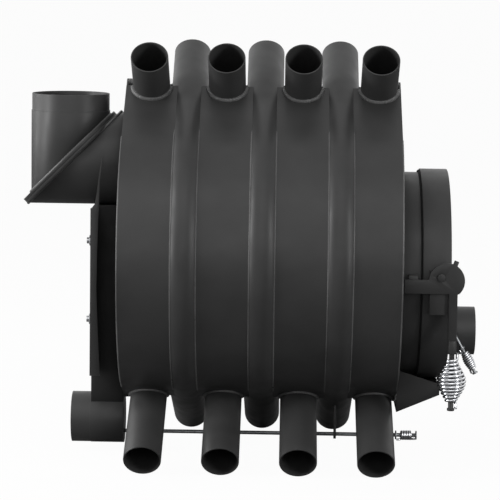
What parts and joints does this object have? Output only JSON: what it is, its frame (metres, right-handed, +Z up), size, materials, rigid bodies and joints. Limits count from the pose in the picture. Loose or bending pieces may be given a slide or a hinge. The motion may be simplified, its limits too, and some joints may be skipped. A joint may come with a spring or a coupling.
{
  "type": "tent wood stove",
  "caption": "Convector wood stove for a tent: bent air tubes cross round a barrel firebox, with a cap door, coil-grip latch, air throttles and a flue elbow.",
  "frame": {"origin": "on the floor under the middle of the stove's length and width", "axes": "+X towards the fuel door, +Z up, +Y to the hinge side of the door"},
  "size_m": [0.7105, 0.457, 0.644],
  "materials": {
    "paint": "matt heat-resistant dark grey paint",
    "bare_steel": "plain rolled steel, dulled",
    "zinc": "zinc plated",
    "chrome": "bright plated spring wire",
    "rope": "braided glass rope"
  },
  "bodies": {
    "stove": {"air_tube_1": "paint", "air_tube_2": "paint", "air_tube_3": "paint", "air_tube_4": "paint", "air_tube_5": "paint", "air_tube_6": "paint", "air_tube_7": "paint", "shell_panel_1": "paint", "shell_panel_2": "paint", "shell_panel_3": "paint", "shell_panel_4": "paint", "shell_panel_5": "paint", "shell_panel_6": "paint", "shell_panel_7": "paint", "rear_band": "paint", "front_band": "paint", "front_wall": "paint", "rear_wall": "paint", "door_neck": "paint", "baffle_plate": "bare_steel", "ash_lip": "paint", "hinge_lugs": "paint", "hinge_pin": "bare_steel", "latch_keeper": "paint", "flue_duct": "paint", "duct_flange": "paint", "socket_flange": "paint", "flue_socket": "paint", "rear_shield": "paint", "shield_studs": "zinc", "shield_nuts": "zinc", "shield_spacers": "paint", "rear_air_pipe": "paint", "air_box": "paint", "pipe_cap": "paint", "rod_hanger": "paint"},
    "door": {"door_cap": "paint", "door_seal": "rope", "door_heat_shield": "bare_steel", "door_spacers": "bare_steel", "door_lugs": "paint", "front_air_socket": "paint", "latch_bracket": "paint", "latch_pin": "bare_steel"},
    "latch": {"latch_lever": "paint", "latch_grip_rod": "zinc", "latch_grip_coil": "chrome"},
    "throttle": {"throttle_spindle": "zinc", "throttle_disc": "bare_steel", "throttle_coil": "chrome"},
    "damper": {"damper_rod": "bare_steel", "damper_disc": "bare_steel", "damper_coil": "chrome"}
  },
  "joints": [
    {"name": "door_hinge", "type": "hinge", "parent": "stove", "child": "door", "pos_m": [0.25545, 0.176, 0.2878], "axis": [0, 0, 1], "range_deg": [0, 120]},
    {"name": "latch_pivot", "type": "hinge", "parent": "door", "child": "latch", "pos_m": [0.28695, -0.175, 0.3038], "axis": [0, -1, 0], "range_deg": [-6, 40]},
    {"name": "front_throttle", "type": "hinge", "parent": "door", "child": "throttle", "pos_m": [0.31845, 0, 0.1978], "axis": [0, -1, 0], "range_deg": [-29, 61]},
    {"name": "rear_damper", "type": "slide", "parent": "stove", "child": "damper", "axis": [1, 0, 0], "range_m": [0, 0.04]}
  ]
}
